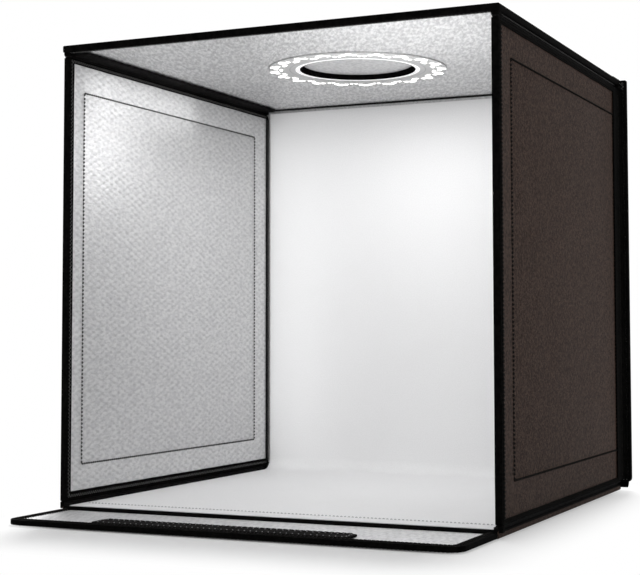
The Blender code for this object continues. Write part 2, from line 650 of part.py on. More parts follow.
def main():
    model = Model()
    build_base(model)
    build_flap(model)
    back_axis = build_back(model)
    build_wall(model, "right_wall", 1, FIRST_FOLD, FACE_RIGHT, back_axis)
    build_wall(model, "left_wall", -1, FIRST_FOLD + PANEL + FOLD_STACK_GAP, FACE_LEFT,
               back_axis)
    top_axis = build_top(model, back_axis)
    build_hole_cover(model, top_axis)
    build_backdrop(model)


main()
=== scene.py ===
# Folding light tent cube: sewn panels, fabric folds, lamp ring, backdrop and finishes,
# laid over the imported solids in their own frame. Sewn and bent pieces are given in
# millimetres, finishes, stage, lights and camera in metres.

import math
import bpy
from mathutils import Matrix, Vector


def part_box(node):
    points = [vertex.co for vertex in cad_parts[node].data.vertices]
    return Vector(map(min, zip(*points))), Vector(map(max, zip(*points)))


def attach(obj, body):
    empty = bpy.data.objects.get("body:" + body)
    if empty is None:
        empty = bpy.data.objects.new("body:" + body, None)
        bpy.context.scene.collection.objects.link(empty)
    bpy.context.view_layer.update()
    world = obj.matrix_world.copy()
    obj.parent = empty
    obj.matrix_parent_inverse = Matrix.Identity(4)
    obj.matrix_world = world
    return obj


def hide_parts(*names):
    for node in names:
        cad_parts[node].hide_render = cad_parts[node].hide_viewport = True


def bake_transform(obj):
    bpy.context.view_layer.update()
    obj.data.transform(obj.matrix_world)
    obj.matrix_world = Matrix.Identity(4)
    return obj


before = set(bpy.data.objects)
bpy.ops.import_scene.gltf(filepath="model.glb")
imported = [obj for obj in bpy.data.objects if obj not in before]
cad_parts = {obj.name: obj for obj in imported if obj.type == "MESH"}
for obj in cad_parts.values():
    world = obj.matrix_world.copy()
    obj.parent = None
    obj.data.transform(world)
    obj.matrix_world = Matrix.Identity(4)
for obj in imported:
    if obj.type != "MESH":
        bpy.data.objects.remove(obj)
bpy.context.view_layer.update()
mm = 0.001
near = 0.01                # millimetres within which two places count as the same
mergeGap = 0.01 * mm       # doubles closer than this are merged
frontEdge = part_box("base_cover")[0].y     # y of the base's front edge


def place(x, y, z):
    # millimetres, with y counted to the rear from the base's front edge
    return Vector((x * mm, frontEdge + y * mm, z * mm))


def spaced(low, high, count):
    # even steps from low to high, with both ends
    return [low + (high - low) * step / count for step in range(count + 1)]


def wholeTurn(count):
    # angles once round, with the first one again at the end
    return [2 * math.pi * (step % count) / count for step in range(count + 1)]


def onCircle(radius, angle):
    return radius * math.cos(angle), radius * math.sin(angle)


def arc(radius, degrees):
    return [onCircle(radius, math.radians(angle)) for angle in degrees]


# ---- shader groups ----

def isSocket(value):
    return isinstance(value, bpy.types.NodeSocket)


def fill(node, values):
    # joins or sets the node's inputs, given by place or name
    for key, value in values.items():
        if isSocket(value):
            node.id_data.links.new(value, node.inputs[key])
        else:
            node.inputs[key].default_value = value


def addNode(kind, values=(), tree=None, **settings):
    # stands in the tree of the first socket that is joined to it, unless one is given
    if not isinstance(values, dict):
        values = dict(enumerate(values))
    tree = tree or next(filter(isSocket, values.values())).id_data
    node = tree.nodes.new('ShaderNode' + kind)
    for label, value in settings.items():
        setattr(node, label, value)
    fill(node, values)
    return node.outputs


def newGroup(name, outputs, **inputs):
    # each group reads a place, and single values with their defaults
    tree = bpy.data.node_groups.new(name, 'ShaderNodeTree')
    tree.interface.new_socket(name="Vector", in_out='INPUT', socket_type='NodeSocketVector')
    for label, value in inputs.items():
        socket = tree.interface.new_socket(name=label, in_out='INPUT',
                                           socket_type='NodeSocketFloat')
        socket.default_value = value
    for label in outputs:
        tree.interface.new_socket(name=label, in_out='OUTPUT', socket_type='NodeSocketFloat')
    return tree, tree.nodes.new('NodeGroupInput').outputs, tree.nodes.new('NodeGroupOutput')


def calc(operation, *values):
    return addNode('Math', values, operation=operation)[0]


def vectorCalc(operation, *values):
    outputs = addNode('VectorMath', values, operation=operation)
    return outputs['Value' if operation == 'LENGTH' else 'Vector']


def ramp(value, low, high):
    # smooth step from low to high
    return addNode('MapRange', (value, low, high), interpolation_type='SMOOTHSTEP')[0]


def scaled(given, pitch="Pitch"):
    # the group's place, counted in steps of its pitch
    share = calc('DIVIDE', 1.0, given[pitch])
    return addNode('VectorMath', {0: given["Vector"], 'Scale': share},
                   operation='SCALE')[0]


def noise(vector, scale, detail=2.0, roughness=0.5, distortion=0.0, output=0):
    return addNode('TexNoise', {
        'Vector': vector, 'Scale': scale, 'Detail': detail, 'Roughness': roughness,
        'Distortion': distortion})[output]


def voronoi(vector, feature='F1'):
    return addNode('TexVoronoi', {'Vector': vector, 'Scale': 1.0}, feature=feature)[0]


def grainGroup():
    # pebbled leatherette: round cells with creases between them; the crease mask darkens the
    # colour as painted shade
    tree, given, result = newGroup("pebbleGrain", ["Height", "CreaseShade", "Tone"], Pitch=0.0018)
    cells = scaled(given)
    bent = vectorCalc('ADD', noise(cells, 0.6, output=1), cells)
    edge = voronoi(bent, 'DISTANCE_TO_EDGE')
    dome = calc('MULTIPLY', ramp(edge, 0.0, 0.32), 0.8)
    fill(result, {
        "Height": calc('MULTIPLY_ADD', noise(cells, 3.5), 0.2, dome),
        "CreaseShade": ramp(edge, 0.14, 0.0), "Tone": noise(cells, 0.9, 3.0, 0.65)})
    return tree


def weaveGroup():
    # over and under threads, even on every face of the box
    tree, given, result = newGroup("tapeWeave", ["Height", "Tone"], Pitch=0.0008)
    turns = scaled(given)
    waves = [calc('SINE', calc('MULTIPLY', socket, math.pi))
             for socket in addNode('SeparateXYZ', [turns])]
    total = 0.0
    for first, second in ((0, 1), (1, 2), (2, 0)):
        over = calc('ABSOLUTE', calc('ADD', waves[first], waves[second]))
        total = calc('ADD', over, total)
    fill(result, {"Height": calc('MULTIPLY', total, 1 / 4.5),
                        "Tone": noise(turns, 0.25, 3.0)})
    return tree


def embossGroup():
    # crossing diagonal creases rolled into the silver lining, longer from front to rear,
    # or at the given turn from it
    tree, given, result = newGroup("crossEmboss", ["Height", "Tone", "PitFleckShade"],
                                   Pitch=0.0036, Stretch=2.0, Turn=0.0)
    turned = addNode('VectorRotate', {'Vector': given["Vector"], 'Angle': given["Turn"]},
                     rotation_type='Z_AXIS')
    x, y, z = addNode('SeparateXYZ', [
        scaled({"Vector": turned[0], "Pitch": given["Pitch"]})])
    y = calc('DIVIDE', y, given["Stretch"])
    turns = addNode('CombineXYZ', (x, y, z))[0]
    shake = calc('MULTIPLY', noise(turns, 0.4), 2.0)
    total = 0.0
    for signs in ((1, 1, 1), (1, -1, 1), (1, 1, -1), (1, -1, -1)):
        line = shake
        for socket, sign in zip((x, y, z), signs):
            line = calc('MULTIPLY_ADD', socket, float(sign), line)
        wave = calc('SINE', calc('MULTIPLY', line, math.pi / 2))
        total = calc('ADD', total, calc('ABSOLUTE', wave))
    cross = calc('MULTIPLY', total, 1 / 4)
    fine = noise(turns, 1.5, 2.0, 0.6)
    # flecks are partly random specks, partly painted shade in the emboss's pits
    pits = calc('MULTIPLY_ADD', cross, -0.5, noise(turns, 1.3, 2.0, 0.6))
    fill(result, {
        "Height": calc('MULTIPLY_ADD', fine, 0.5, calc('MULTIPLY', cross, 0.5)),
        "Tone": noise(turns, 1.1, 3.0, 0.6), "PitFleckShade": ramp(pits, 0.16, 0.36)})
    return tree


def pileGroup():
    # tiny hooks or loops standing on a strip
    tree, given, result = newGroup("stripPile", ["Height", "Tone"], Pitch=0.0009)
    turns = scaled(given)
    tips = calc('MULTIPLY', calc('SUBTRACT', 1.0, voronoi(turns)), 0.6)
    fill(result, {
        "Height": calc('MULTIPLY_ADD', noise(turns, 2.5), 0.4, tips),
        "Tone": noise(turns, 0.5)})
    return tree


def handlingGroup():
    # soft patches of dust and handling
    tree, given, result = newGroup("handling", ["Patch"], Size=0.08)
    turns = scaled(given, "Size")
    fill(result, {"Patch": noise(turns, 1.0, 5.0, 0.62, 0.4)})
    return tree


shaderGroups = {"grain": grainGroup(), "weave": weaveGroup(), "emboss": embossGroup(),
                "pile": pileGroup(), "handling": handlingGroup()}


def grey(value):
    return (value, value, value)


# base and second colour mix by the surface's own tone; pitch and bump are in metres
threadFinish = {"slot": "black_binding", "surface": "weave", "pitch": 0.00025,
                "dustShare": 0.1, "bump": 0.00004}
finishes = {
    "leather": {"slot": "leatherette_cover", "surface": "grain", "pitch": 0.0019,
                "base": (0.023, 0.0145, 0.0112), "second": (0.072, 0.0455, 0.0360),
                "dust": (0.10, 0.08, 0.07), "dustShare": 0.12, "rough": 0.62,
                "bump": 0.00020, "gloss": 0.03},
    "tape": {"slot": "black_binding", "surface": "weave", "pitch": 0.0008,
             "base": grey(0.0012), "second": (0.0036, 0.0034, 0.0032),
             "dust": (0.03, 0.028, 0.026), "dustShare": 0.04, "rough": 0.75,
             "bump": 0.00010, "gloss": 0.01},
    "silver": {"slot": "silver_lining", "surface": "emboss", "pitch": 0.0030,
               "base": (0.56, 0.56, 0.57), "second": grey(0.67),
               "dust": (0.62, 0.61, 0.60), "dustShare": 0.10, "rough": 0.48,
               "metal": 0.60, "bump": 0.00050, "gloss": 0.5, "stretch": 2.2, "turn": 0},
    "topSilver": {"slot": "silver_lining", "surface": "emboss", "pitch": 0.0031,
                  "base": (0.46, 0.46, 0.47), "second": grey(0.70),
                  "dust": (0.56, 0.55, 0.54), "dustShare": 0.10, "rough": 0.46,
                  "metal": 0.45, "bump": 0.00160, "gloss": 0.5, "stretch": 4.0, "turn": 24},
    "board": {"slot": "stiffening_board", "surface": "grain", "pitch": 0.0030,
              "base": (0.24, 0.21, 0.17), "second": (0.34, 0.31, 0.26),
              "dust": (0.40, 0.38, 0.34), "dustShare": 0.2, "rough": 0.92,
              "bump": 0.00006, "gloss": 0.3},
    "hook": {"slot": "hook_and_loop", "surface": "pile", "pitch": 0.0009,
             "base": grey(0.0020), "second": (0.011, 0.010, 0.010),
             "dust": grey(0.06), "dustShare": 0.08, "rough": 0.85,
             "bump": 0.00050, "gloss": 0.03},
    "sheet": {"slot": "white_backdrop", "surface": "pile", "pitch": 0.0006,
              "base": (0.83, 0.83, 0.835), "second": (0.86, 0.86, 0.865),
              "dust": grey(0.80), "dustShare": 0.25, "rough": 0.55,
              "bump": 0.00002, "gloss": 0.4},
    "plastic": {"slot": "black_plastic", "surface": "pile", "pitch": 0.0004,
                "base": grey(0.010), "second": grey(0.018), "dust": grey(0.10),
                "dustShare": 0.08, "rough": 0.45, "bump": 0.00003, "gloss": 0.5},
    "thread": {**threadFinish, "base": (0.0016, 0.0015, 0.0014),
               "second": (0.009, 0.008, 0.007), "dust": grey(0.05), "dustShare": 0.05,
               "rough": 0.60, "gloss": 0.05},
    "greyThread": {**threadFinish, "base": grey(0.030), "second": (0.080, 0.078, 0.075),
                   "dust": grey(0.12), "rough": 0.45, "gloss": 0.4},
    "stripThread": {**threadFinish, "slot": "hook_and_loop", "base": grey(0.12),
                    "second": (0.20, 0.20, 0.195), "dust": grey(0.12), "rough": 0.55,
                    "gloss": 0.3},
    "paleThread": {**threadFinish, "slot": "white_backdrop", "base": (0.38, 0.38, 0.39),
                   "second": (0.52, 0.52, 0.53), "dust": grey(0.30), "rough": 0.55,
                   "gloss": 0.3},
    "lampTape": {"slot": "lamp_board", "surface": "pile", "pitch": 0.0004,
                 "base": grey(0.62), "second": grey(0.74), "dust": (0.50, 0.49, 0.47),
                 "dustShare": 0.15, "rough": 0.45, "bump": 0.00002, "gloss": 0.4},
}
mixRanges = {"tone": (0.36, 0.64), "patch": (0.46, 0.74), "roughSwing": 0.12}
# the group's mark that darkens the base colour as painted shade in creases and pits, its
# share, and the darker shade
darkMarks = {"grain": ("CreaseShade", 0.45, 0.35), "emboss": ("PitFleckShade", 0.28, 0.45)}


def principled(name):
    material = bpy.data.materials.new(name)
    material.use_nodes = True
    spot = addNode('TexCoord', tree=material.node_tree)['Object']
    return material, material.node_tree.nodes["Principled BSDF"], spot


def useGroup(kind, spot, **values):
    return addNode('Group', {"Vector": spot, **values}, node_tree=shaderGroups[kind])


def colourMix(share, first, second):
    first, second = ((*part, 1.0) if isinstance(part, tuple) else part
                     for part in (first, second))
    return addNode('Mix', {0: share, 6: first, 7: second}, data_type='RGBA')[2]


def shade(colour, factor):
    return tuple(factor * part for part in colour)


def bumpOf(height, depth):
    return addNode('Bump', {'Strength': 1.0, 'Distance': depth, 'Height': height})[0]


def makeFinish(name):
    facts = finishes[name]
    material, shader, spot = principled(name)
    shape = {"Pitch": facts["pitch"]}
    if "stretch" in facts:
        shape.update(Stretch=facts["stretch"], Turn=math.radians(-facts["turn"]))
    surface = useGroup(facts["surface"], spot, **shape)
    patch = useGroup("handling", spot)["Patch"]
    tone = ramp(surface["Tone"], *mixRanges["tone"])
    colour = colourMix(tone, facts["base"], facts["second"])
    # creases of the grain and pits of the emboss darkened: painted shade
    if facts["surface"] in darkMarks:
        mark, share, darker = darkMarks[facts["surface"]]
        colour = colourMix(calc('MULTIPLY', surface[mark], share), colour,
                           shade(facts["base"], darker))
    dust = calc('MULTIPLY', ramp(patch, *mixRanges["patch"]), facts["dustShare"])
    swing = mixRanges["roughSwing"]
    fill(shader, {
        'Base Color': colourMix(dust, colour, facts["dust"]),
        'Roughness': calc('MULTIPLY_ADD', patch, swing, facts["rough"] - swing / 2),
        'Metallic': facts.get("metal", 0.0), 'Specular IOR Level': facts["gloss"],
        'Normal': bumpOf(surface["Height"], facts["bump"])})
    return material


# radii and fades in metres; a line's fade runs from its edge to its full tone
ringFinish = {"base": grey(0.50), "darker": 0.88, "patch": 0.03, "rim": grey(0.86),
              # rim: partly the board's pale edge, partly a painted highlight; glow: painted
              # light on that rim
              "rimRadius": 0.0575, "rimFade": 0.0004, "glow": 0.35,
              # the outer of the lines, at 81.2 mm, is a painted shadow of the board's edge
              "line": (0.30, 0.30, 0.31), "lines": (0.0625, 0.0812),
              "lineFade": (0.0006, 0.0002), "rough": 0.45, "roughSwing": 0.15,
              "bump": 0.00005}


def makeRingFinish():
    # grey board, pale beside the bore with a painted highlight that glows, and a fine line
    # each side of the lamps
    facts = ringFinish
    material, shader, spot = principled("ringBoard")
    away = vectorCalc('SUBTRACT', spot, holeCentre)
    radius = vectorCalc('LENGTH', vectorCalc('MULTIPLY', away, (1, 1, 0)))
    patch = useGroup("handling", spot, Size=facts["patch"])["Patch"]
    colour = colourMix(patch, facts["base"], shade(facts["base"], facts["darker"]))
    # pale rim beside the bore: part pale board, part painted highlight, glowing as painted
    # light
    pale = ramp(radius, facts["rimRadius"], facts["rimRadius"] - facts["rimFade"])
    colour = colourMix(pale, colour, facts["rim"])
    # the outer line stands for the shadow of the board's edge (painted shadow)
    for line in facts["lines"]:
        beside = calc('ABSOLUTE', calc('SUBTRACT', radius, line))
        colour = colourMix(ramp(beside, *facts["lineFade"]), colour,
                           facts["line"])
    fill(shader, {
        'Base Color': colour, 'Emission Color': colour,
        'Emission Strength': calc('MULTIPLY', pale, facts["glow"]),
        'Roughness': calc('MULTIPLY_ADD', patch, facts["roughSwing"], facts["rough"]),
        'Normal': bumpOf(patch, facts["bump"])})
    return material


lampFinish = {"case": (0.90, 0.90, 0.89), "lens": (0.97, 0.97, 0.95), "glow": 1.6,
              "patch": 0.004, "rough": 0.2, "roughSwing": 0.2}


def makeLampFinish():
    facts = lampFinish
    material, shader, spot = principled("lamp")
    patch = useGroup("handling", spot, Size=facts["patch"])["Patch"]
    colour = colourMix(patch, facts["case"], facts["lens"])
    rough = calc('MULTIPLY_ADD', patch, facts["roughSwing"], facts["rough"])
    fill(shader, {'Base Color': colour, 'Emission Color': colour, 'Roughness': rough,
                        'Emission Strength': facts["glow"]})
    return material


holeLow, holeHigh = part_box("hole_binding")
holeCentre = (holeLow + holeHigh) / 2
holeRadius = 0.0535

materials = {name: makeFinish(name) for name in finishes}
materials["ringBoard"] = makeRingFinish()
materials["lamp"] = makeLampFinish()
slots = {name: facts["slot"] for name, facts in finishes.items()}
slots.update(ringBoard="lamp_board", lamp="lamp_lens")
print("finishes:", len(materials))


# ---- modelling helpers ----

def selectOnly(*pieces):
    bpy.ops.object.select_all(action='DESELECT')
    for piece in pieces:
        piece.select_set(True)
    bpy.context.view_layer.objects.active = pieces[0]


def applyModifiers(piece):
    selectOnly(piece)
    for modifier in list(piece.modifiers):
        bpy.ops.object.modifier_apply(modifier=modifier.name)


def applyPlace(piece, matrix=None):
    if matrix is not None:
        piece.matrix_world = matrix @ piece.matrix_world
    selectOnly(piece)
    bpy.ops.object.transform_apply(location=True, rotation=True, scale=True)


def inEdit(piece, *steps):
    # each step is an operator with its settings, on the whole mesh
    selectOnly(piece)
    bpy.ops.object.mode_set(mode='EDIT')
    bpy.ops.mesh.select_all(action='SELECT')
    for operator, settings in steps:
        operator(**settings)
    bpy.ops.object.mode_set(mode='OBJECT')


def faceOutward(piece, threshold=None):
    steps = [(bpy.ops.mesh.normals_make_consistent, {"inside": False})]
    if threshold:
        steps.insert(0, (bpy.ops.mesh.remove_doubles, {"threshold": threshold}))
    inEdit(piece, *steps)


def bevelPicked(piece, mode, picked, **settings):
    # bevels the vertices or edges with the given numbers
    inEdit(piece, (bpy.ops.mesh.select_mode, {"type": mode}),
           (bpy.ops.mesh.select_all, {"action": 'DESELECT'}))
    parts = piece.data.vertices if mode == 'VERT' else piece.data.edges
    for number in picked:
        parts[number].select = True
    bpy.ops.object.mode_set(mode='EDIT')
    bpy.ops.mesh.bevel(affect='VERTICES' if mode == 'VERT' else 'EDGES', **settings)
    bpy.ops.object.mode_set(mode='OBJECT')


def joinPieces(pieces):
    selectOnly(*pieces)
    if len(pieces) > 1:
        bpy.ops.object.join()
    return bpy.context.view_layer.objects.active


def gridPiece(rows):
    # a grid whose rows are laid along the given points
    bpy.ops.mesh.primitive_grid_add(x_subdivisions=len(rows[0]) - 1,
                                    y_subdivisions=len(rows) - 1, size=1)
    piece = bpy.context.object
    points = [point for row in rows for point in row]
    for vertex, point in zip(piece.data.vertices, points):
        vertex.co = point
    return piece


def thicken(piece, thickness, offset=-1.0):
    solid = piece.modifiers.new("thickness", 'SOLIDIFY')
    solid.thickness = thickness
    solid.offset = offset
    applyModifiers(piece)


def bandPiece(rows, thickness):
    # a band laid along the rows, with its thickness in millimetres to both sides
    band = gridPiece(rows)
    faceOutward(band, mergeGap)
    thicken(band, thickness * mm, 0.0)
    faceOutward(band)
    return band


def blockPiece(matrix):
    bpy.ops.mesh.primitive_cube_add(size=1)
    block = bpy.context.object
    applyPlace(block, matrix)
    return block


def soften(piece, width, segments, sharp=30):
    bevel = piece.modifiers.new("soften", 'BEVEL')
    bevel.width, bevel.segments = width, segments
    bevel.limit_method, bevel.angle_limit = 'ANGLE', math.radians(sharp)
    applyModifiers(piece)


def copyOf(template):
    copy = template.copy()
    copy.data = template.data.copy()
    bpy.context.collection.objects.link(copy)
    return copy


def finishPiece(piece, name, look, body=None, smooth=40, replaced=()):
    piece.name = piece.data.name = name
    applyPlace(piece)
    piece.data.materials.clear()
    piece.data.materials.append(materials[look])
    bpy.ops.object.shade_smooth_by_angle(angle=math.radians(smooth))
    if replaced:
        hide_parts(*replaced)
    if body:
        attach(piece, body)
    return piece


# ---- bound panels ----

# local plane (width, length, outward) to the frame, by the panel's thin axis
planeTurns = {
    0: Matrix(((0, 0, 1, 0), (1, 0, 0, 0), (0, 1, 0, 0), (0, 0, 0, 1))),
    1: Matrix(((0, 1, 0, 0), (0, 0, 1, 0), (1, 0, 0, 0), (0, 0, 0, 1))),
    2: Matrix.Identity(4),
}
cornerSides = ((-1, -1), (1, -1), (1, 1), (-1, 1))

# The plane's two ways are along Y and Z on a wall, Z and X on the back, X and Y on the rest.
# cover: side of the thin axis with the leatherette. corners: radii, in cornerSides' order.
# seams: margins of a sewn line, low and high end of the first way, then of the second.
# laps: width of the tape on the low second, high first, high second and low first side.
# flatEnds: flat stitches on the level sides; sewnOver: over stitches on both faces, and
# none beside the fold.
wallFacts = {"corners": (1.5, 6, 6, 1.5), "coverSeam": (32, 22, 30, 27),
             "liningSeam": (24, 32, 30, 28), "coverLaps": (3.8, 6.0, 4.8, 6.0),
             "liningLaps": (8.0, 6.0, 4.8, 7.6), "flatEnds": True}
panels = {
    "rightWall": {"node": "right_wall", "cover": 1, **wallFacts},
    "leftWall": {"node": "left_wall", "cover": -1, **wallFacts},
    "back": {"node": "back", "cover": 1, "corners": (4, 1.5, 1.5, 4),
             "coverSeam": (36, 46, 32, 32)},
    "top": {"node": "top", "cover": 1, "corners": (1.5, 1.5, 1.5, 1.5),
            "coverSeam": (30, 30, 30, 54), "lining": "topSilver"},
    "holeCover": {"node": "hole_cover", "cover": 1, "corners": (8, 8, 8, 8), "thin": True},
    "flap": {"node": "flap", "cover": -1, "corners": (12, 12, 1.5, 1.5), "thin": True,
             "coverLaps": (6.0, 6.0, 2.0, 6.0), "liningLaps": (6.0, 6.0, 2.0, 6.0),
             "sewnOver": True},
}
sheetFacts = {"skin": 0.7, "thinSkin": 0.5, "gap": 0.3, "groove": 0.40, "grooveWidth": 1.3,
              "cornerSteps": 6, "areaShare": 0.999}
bindingFacts = {"lap": 6.0, "tape": 0.62, "roll": 1.2, "thinRoll": 0.8, "wave": 0.16,
                "step": 9.0, "waves": ((17, 1), (31, 0), (53, 2))}
# insets and levels: how far in from the rim, and how far over the face
stitchFacts = {"pitch": 3.2, "seamPitch": 3.3, "overThread": 0.48, "flatThread": 0.28,
               "seamThread": 0.78, "overInset": 5.4, "flatInset": 3.4, "foldSide": 3.0,
               "seamLevel": 0.30}


def measureFlat(node, shift=0.0):
    # a flat node's width, length and depth, and the matrix from its own plane to the frame
    low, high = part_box(node)
    size = (high - low) / mm
    axis = min(range(3), key=lambda index: size[index])
    middle = (low + high) / 2 + Vector((shift * mm, 0, 0))
    matrix = Matrix.Translation(middle) @ planeTurns[axis] @ Matrix.Scale(mm, 4)
    return size[(axis + 1) % 3], size[(axis + 2) % 3], size[axis], matrix


def measurePanel(facts):
    width, length, depth, facts["matrix"] = measureFlat(facts["node"] + "_binding")
    facts["size"] = (width, length)
    facts["half"] = depth / 2
    facts["skin"] = sheetFacts["thinSkin" if facts.get("thin") else "skin"]
    facts["recess"] = facts["skin"] + sheetFacts["gap"]
    facts["roll"] = bindingFacts["thinRoll" if facts.get("thin") else "roll"]


def sideInsets(facts, inset, face):
    # the inset on the four sides, in proportion to each side's own lap
    laps = facts.get("coverLaps" if face == facts.get("cover") else "liningLaps")
    if laps is None or inset <= facts["roll"]:
        return (inset,) * 4
    roll = facts["roll"]
    share = (inset - roll) / (bindingFacts["lap"] - roll)
    return tuple(roll + (lap - roll) * share for lap in laps)


def rimPoints(facts, inset, cornerSteps=3, spacing=None, face=1):
    # once round the panel, the same count of points at every inset
    low, right, high, left = sideInsets(facts, inset, face)
    arcs = []
    for number, (sideU, sideV) in enumerate(cornerSides):
        insetU = right if sideU > 0 else left
        insetV = high if sideV > 0 else low
        radius = max(facts["corners"][number] - max(insetU, insetV), 0.0)
        centreU = sideU * (facts["size"][0] / 2 - insetU - radius)
        centreV = sideV * (facts["size"][1] / 2 - insetV - radius)
        degrees = spaced(180 + 90 * number, 270 + 90 * number, cornerSteps)
        arcs.append([(centreU + u, centreV + v) for u, v in arc(radius, degrees)])
    points = []
    for number, corner in enumerate(arcs):
        points += corner
        if spacing:
            count = max(2, round(facts["size"][number % 2] / spacing))
            (u0, v0), (u1, v1) = corner[-1], arcs[(number + 1) % 4][0]
            points += list(zip(spaced(u0, u1, count), spaced(v0, v1, count)))[1:-1]
    return points


def seamLines(facts, seam):
    low = (seam[0] - facts["size"][0] / 2, seam[2] - facts["size"][1] / 2)
    high = (facts["size"][0] / 2 - seam[1], facts["size"][1] / 2 - seam[3])
    return low, high


def pressSeam(sheet, low, high):
    # cuts the sheet along the sewn line and draws the line down
    for axis, normal in ((0, (1, 0, 0)), (1, (0, 1, 0))):
        for line in (low[axis], high[axis]):
            for shift in (-1, 0, 1):
                point = Vector(normal) * (line + shift * sheetFacts["grooveWidth"])
                inEdit(sheet, (bpy.ops.mesh.bisect, {"plane_co": point, "plane_no": normal}))
    for vertex in sheet.data.vertices:
        inside = [low[axis] - near < vertex.co[axis] < high[axis] + near for axis in (0, 1)]
        online = [min(abs(vertex.co[axis] - line[axis]) for line in (low, high)) < near
                  for axis in (0, 1)]
        if (online[0] and inside[1]) or (online[1] and inside[0]):
            vertex.co.z -= sheetFacts["groove"]


def cutHole(piece):
    bpy.ops.mesh.primitive_cylinder_add(vertices=96, radius=holeRadius, depth=0.05,
                                        location=holeCentre)
    cutter = bpy.context.object
    applyPlace(cutter)
    hole = piece.modifiers.new("hole", 'BOOLEAN')
    hole.object = cutter
    hole.operation = 'DIFFERENCE'
    applyModifiers(piece)
    bpy.data.objects.remove(cutter, do_unlink=True)


def makeSheet(panel, facts, face):
    isCover = face == facts["cover"]
    part = "Cover" if isCover else "Lining"
    look = "leather" if isCover else facts.get("lining", "silver")
    inset = facts["recess"]
    width, length = (size - 2 * inset for size in facts["size"])
    bpy.ops.mesh.primitive_plane_add(size=1)
    sheet = bpy.context.object
    applyPlace(sheet, Matrix.Diagonal((width, length, 1, 1)))
    for (sideU, sideV), corner in zip(cornerSides, facts["corners"]):
        if corner > inset + 0.1:
            picked = [vertex.index for vertex in sheet.data.vertices
                      if vertex.co.x * sideU > width / 2 - near
                      and vertex.co.y * sideV > length / 2 - near]
            bevelPicked(sheet, 'VERT', picked, offset=corner - inset,
                        segments=sheetFacts["cornerSteps"])
    seam = facts.get("coverSeam" if isCover else "liningSeam")
    if seam:
        pressSeam(sheet, *seamLines(facts, seam))
    if face < 0:
        inEdit(sheet, (bpy.ops.mesh.flip_normals, {}))
        for vertex in sheet.data.vertices:
            vertex.co.z *= -1
    thicken(sheet, facts["skin"])
    applyPlace(sheet, facts["matrix"] @ Matrix.Translation(
        (0, 0, face * (facts["half"] - facts["recess"]))))
    area = width * length * sheetFacts["areaShare"] * mm * mm
    if facts["node"] == "top":
        cutHole(sheet)
        area -= math.pi * holeRadius ** 2
    faceOutward(sheet)
    node = facts["node"] + ("_cover" if isCover else "_lining")
    sheet = finishPiece(sheet, panel + part, look, facts["node"], 25, [node])


def makeBinding(panel, facts):
    # one tape profile swept round the rim: lap, rolled edge, lap, and the tape's inside
    half, lap, tape = facts["half"], bindingFacts["lap"], bindingFacts["tape"]
    roll = facts["roll"]
    upper = [(lap, half - tape), (lap, half - 0.20), (lap - 0.18, half - 0.05),
             (lap - 0.6, half), (lap - 2.2, half - 0.04), (lap - 3.6, half)]
    upper += [(roll - out, half - roll + up) for up, out in arc(roll, (0, 22, 45, 68, 90))]
    lower = [(inset, -height) for inset, height in reversed(upper)]
    profile = upper + lower + [(tape, -half + tape), (tape, half - tape)]
    rings = []
    for inset, height in profile:
        rim = rimPoints(facts, inset, 6, bindingFacts["step"], 1 if height > 0 else -1)
        loose = bindingFacts["wave"] if inset > lap - 1 else 0.0
        row = []
        for turn, (u, v) in zip(wholeTurn(len(rim)), rim):
            wave = loose * sum(math.sin(often * turn + start)
                               for often, start in bindingFacts["waves"]) / 3
            reach = math.hypot(u, v)
            row.append(Vector((u - u / reach * wave, v - v / reach * wave, height)))
        rings.append(row + row[:1])
    piece = gridPiece(rings + rings[:1])
    applyPlace(piece, facts["matrix"])
    faceOutward(piece, 2 * mergeGap)
    finishPiece(piece, panel + "Binding", "tape", facts["node"], 50,
                [facts["node"] + "_binding"])


# ---- stitches ----

def threadTemplate(points, radius):
    curve = bpy.data.curves.new("thread", 'CURVE')
    curve.dimensions = '3D'
    curve.bevel_depth = radius
    curve.bevel_resolution = 0
    curve.use_fill_caps = True
    spline = curve.splines.new('POLY')
    spline.points.add(len(points) - 1)
    for point, spot in zip(spline.points, points):
        point.co = (*spot, 1.0)
    piece = bpy.data.objects.new("thread", curve)
    bpy.context.collection.objects.link(piece)
    selectOnly(piece)
    bpy.ops.object.convert(target='MESH')
    piece = bpy.context.object
    faceOutward(piece, 0.001)
    return piece


pitch, seamPitch = stitchFacts["pitch"], stitchFacts["seamPitch"]
# a stitch runs along its first way; the second is across, inward, the third is up; its
# first half is given, and mirrored


def mirrored(step, points, top=()):
    return [*points, *top, *((step - x, y, z) for x, y, z in reversed(points))]


templates = {
    # over the tape's edge and down to the sheet
    "over": (threadTemplate(mirrored(pitch, [
        (0, -1.7, -0.1), (0.15, -1.5, 0.28), (pitch / 2 - 0.4, 0.45, 0.34),
        (pitch / 2 - 0.12, 3.6, -0.56)]), stitchFacts["overThread"]), pitch),
    # zigzag that stays on one level
    "flat": (threadTemplate(mirrored(pitch, [
        (0, -1.1, -0.2), (0.15, -0.95, 0.16), (pitch / 2 - 0.15, 0.95, 0.16)],
        [(pitch / 2, 1.1, -0.2)]), stitchFacts["flatThread"]), pitch),
    # straight seam
    "seam": (threadTemplate(mirrored(seamPitch, [
        (1.15, 0, -0.5), (1.25, 0, 0.2)], [(seamPitch / 2, 0, 0.75)]),
        stitchFacts["seamThread"]), seamPitch),
}


